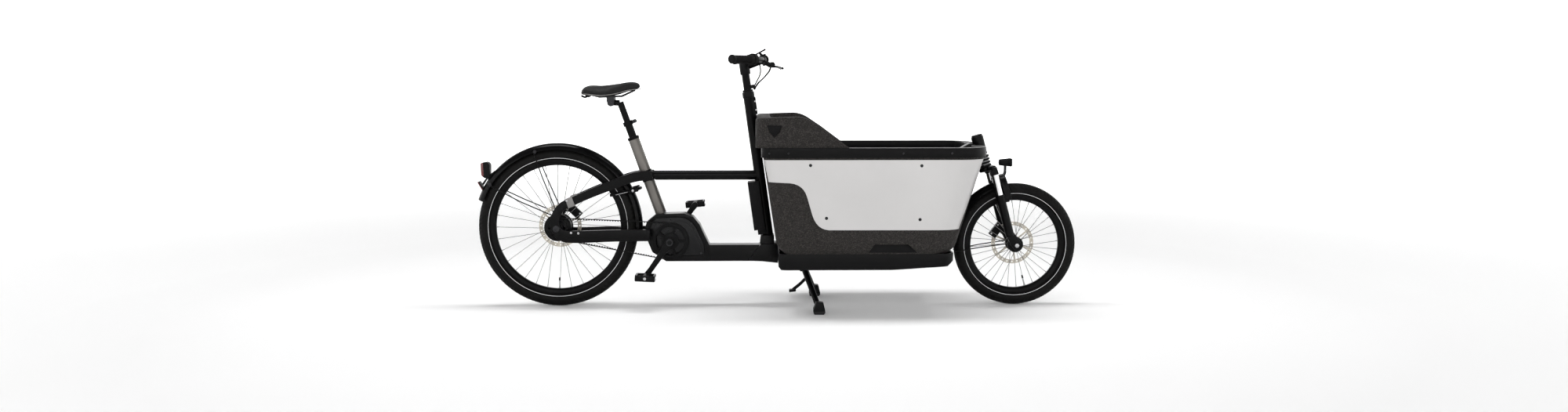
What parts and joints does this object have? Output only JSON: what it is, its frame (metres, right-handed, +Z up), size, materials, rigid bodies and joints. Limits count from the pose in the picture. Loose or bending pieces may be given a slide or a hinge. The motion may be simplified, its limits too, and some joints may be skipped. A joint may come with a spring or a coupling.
{
  "type": "cargo bicycle",
  "caption": "Front-loading electric cargo bicycle with a foam load box, small suspended front wheel, belt drive, hub gear, disc brakes and a centre stand.",
  "frame": {"origin": "on the ground under the middle of the bicycle, wheels and stand feet on the ground", "axes": "+X forwards, +Y to the rider's left, +Z up"},
  "size_m": [2.5163, 0.6772, 1.08],
  "materials": {
    "frame_black": "satin powder coat",
    "seat_tube_grey": "brushed grey metallic lacquer",
    "motor_black": "gloss moulded cover",
    "bearing_steel": "ground steel",
    "epp_foam": "speckled moulded bead foam",
    "panel_silver": "satin silver lacquer",
    "rim_band_black": "satin moulded plastic",
    "bolt_black": "blacked steel",
    "fender_black": "gloss plastic",
    "lamp_red": "clear red plastic",
    "lock_silver": "satin metal and black plastic",
    "battery_black": "fine textured plastic",
    "belt_black": "moulded rubber",
    "tyre_black": "rubber with a pale reflex line",
    "rim_black": "black anodised",
    "spoke_steel": "drawn steel",
    "hub_black": "black anodised",
    "rotor_steel": "ground steel",
    "crank_black": "black anodised",
    "pedal_black": "moulded plastic and grip",
    "grip_rubber": "ribbed rubber",
    "control_black": "moulded plastic",
    "lever_black": "black forged aluminium",
    "hose_black": "smooth hose",
    "stanchion_chrome": "polished tube",
    "saddle_black": "grained cover",
    "rail_steel": "satin steel"
  },
  "bodies": {
    "frame": {"top_tube": "frame_black", "seat_tube": "seat_tube_grey", "seat_stays": "frame_black", "chainstays": "frame_black", "motor_bracket": "frame_black", "motor_unit": "motor_black", "motor_covers": "motor_black", "main_beam": "frame_black", "chassis_tray": "frame_black", "head_tube": "frame_black", "column_tube": "frame_black", "bearings": "bearing_steel", "box_shell": "epp_foam", "side_panels": "panel_silver", "rim_band": "rim_band_black", "rear_bolster": "epp_foam", "frame_bolts": "bolt_black", "rear_fender": "fender_black", "tail_light": "lamp_red", "ring_lock": "lock_silver", "battery": "battery_black", "drive_belt": "belt_black", "rear_caliper": "lever_black", "seat_collar": "crank_black"},
    "seat_lever": {"seat_lever": "lever_black"},
    "rear_wheel": {"rear_tyre": "tyre_black", "rear_rim": "rim_black", "rear_spokes": "spoke_steel", "rear_hub": "hub_black", "rear_rotor": "rotor_steel"},
    "rear_pulley": {"rear_pulley": "crank_black"},
    "crankset": {"front_pulley": "crank_black", "crank_right": "crank_black", "crank_left": "crank_black"},
    "pedal_right": {"pedal_right": "pedal_black"},
    "pedal_left": {"pedal_left": "pedal_black"},
    "steering": {"steering_sleeve": "frame_black"},
    "handlebar": {"stem": "frame_black", "handlebar": "frame_black", "grips": "grip_rubber", "bar_controls": "control_black", "brake_hoses": "hose_black"},
    "twist_shifter": {"twist_shifter": "grip_rubber"},
    "brake_lever_right": {"brake_lever_right": "lever_black"},
    "brake_lever_left": {"brake_lever_left": "lever_black"},
    "fork_upper": {"fork_crown": "stanchion_chrome", "cable_drum": "control_black"},
    "fork_lower": {"fork_lowers": "frame_black", "front_fender": "fender_black", "headlight": "control_black", "front_caliper": "lever_black"},
    "front_wheel": {"front_tyre": "tyre_black", "front_rim": "rim_black", "front_spokes": "spoke_steel", "front_hub": "hub_black", "front_rotor": "rotor_steel"},
    "kickstand": {"kickstand": "frame_black"},
    "seat_post": {"seat_post": "crank_black"},
    "saddle": {"saddle_rails": "rail_steel", "saddle_cover": "saddle_black"}
  },
  "joints": [
    {"name": "seat_lever_open", "type": "hinge", "parent": "frame", "child": "seat_lever", "pos_m": [-0.59894, 0, 0.77878], "axis": [0, 1, 0], "range_deg": [0, 110]},
    {"name": "rear_wheel_spin", "type": "hinge", "parent": "frame", "child": "rear_wheel", "pos_m": [-0.921, 0, 0.334], "axis": [0, 1, 0], "continuous": true},
    {"name": "rear_pulley_spin", "type": "hinge", "parent": "frame", "child": "rear_pulley", "pos_m": [-0.921, 0, 0.334], "axis": [0, 1, 0], "continuous": true},
    {"name": "crank_spin", "type": "hinge", "parent": "frame", "child": "crankset", "pos_m": [-0.45, 0, 0.278], "axis": [0, 1, 0], "continuous": true},
    {"name": "pedal_right_spin", "type": "hinge", "parent": "crankset", "child": "pedal_right", "pos_m": [-0.54751, 0, 0.13874], "axis": [0, 1, 0], "continuous": true},
    {"name": "pedal_left_spin", "type": "hinge", "parent": "crankset", "child": "pedal_left", "pos_m": [-0.35249, 0, 0.41726], "axis": [0, 1, 0], "continuous": true},
    {"name": "steer", "type": "hinge", "parent": "frame", "child": "steering", "pos_m": [-0.12, 0, 0.876], "axis": [-0.1357, 0, 0.9907], "range_deg": [-40, 40]},
    {"name": "bar_height", "type": "slide", "parent": "steering", "child": "handlebar", "axis": [-0.1357, 0, 0.9907], "range_m": [0, 0.06]},
    {"name": "shifter_twist", "type": "hinge", "parent": "handlebar", "child": "twist_shifter", "pos_m": [-0.087, -0.186, 1.034], "axis": [-0.5723, -0.8201, 0], "range_deg": [0, 100]},
    {"name": "brake_right_squeeze", "type": "hinge", "parent": "handlebar", "child": "brake_lever_right", "pos_m": [-0.019, -0.124, 1.006], "axis": [0, 0, -1], "range_deg": [0, 18], "stiffness_Nm_per_rad": 2, "springref_deg": -8.59},
    {"name": "brake_left_squeeze", "type": "hinge", "parent": "handlebar", "child": "brake_lever_left", "pos_m": [-0.019, 0.124, 1.006], "axis": [0, 0, 1], "range_deg": [0, 18], "stiffness_Nm_per_rad": 2, "springref_deg": -8.59},
    {"name": "fork_turn", "type": "hinge", "parent": "frame", "child": "fork_upper", "pos_m": [0.8705, 0, 0.5953], "axis": [-0.2588, 0, 0.9659], "range_deg": [-40, 40]},
    {"name": "fork_slide", "type": "slide", "parent": "fork_upper", "child": "fork_lower", "axis": [-0.2588, 0, 0.9659], "range_m": [0, 0.04], "stiffness_N_per_m": 8000, "springref_m": -0.045},
    {"name": "front_wheel_spin", "type": "hinge", "parent": "fork_lower", "child": "front_wheel", "pos_m": [1.00333, 0, 0.25799], "axis": [0, 1, 0], "continuous": true},
    {"name": "stand_fold", "type": "hinge", "parent": "frame", "child": "kickstand", "pos_m": [0.109, 0, 0.168], "axis": [0, 1, 0], "range_deg": [0, 90]},
    {"name": "seat_height", "type": "slide", "parent": "frame", "child": "seat_post", "axis": [-0.3355, 0, 0.9421], "range_m": [-0.05, 0.1]},
    {"name": "saddle_tilt", "type": "hinge", "parent": "seat_post", "child": "saddle", "pos_m": [-0.6945, 0, 0.856], "axis": [0, 1, 0], "range_deg": [-10, 10]}
  ],
  "couplings": [
    {"joint": "rear_pulley_spin", "follows": "crank_spin", "ratio": 1.8333},
    {"joint": "fork_turn", "follows": "steer", "ratio": 1}
  ]
}
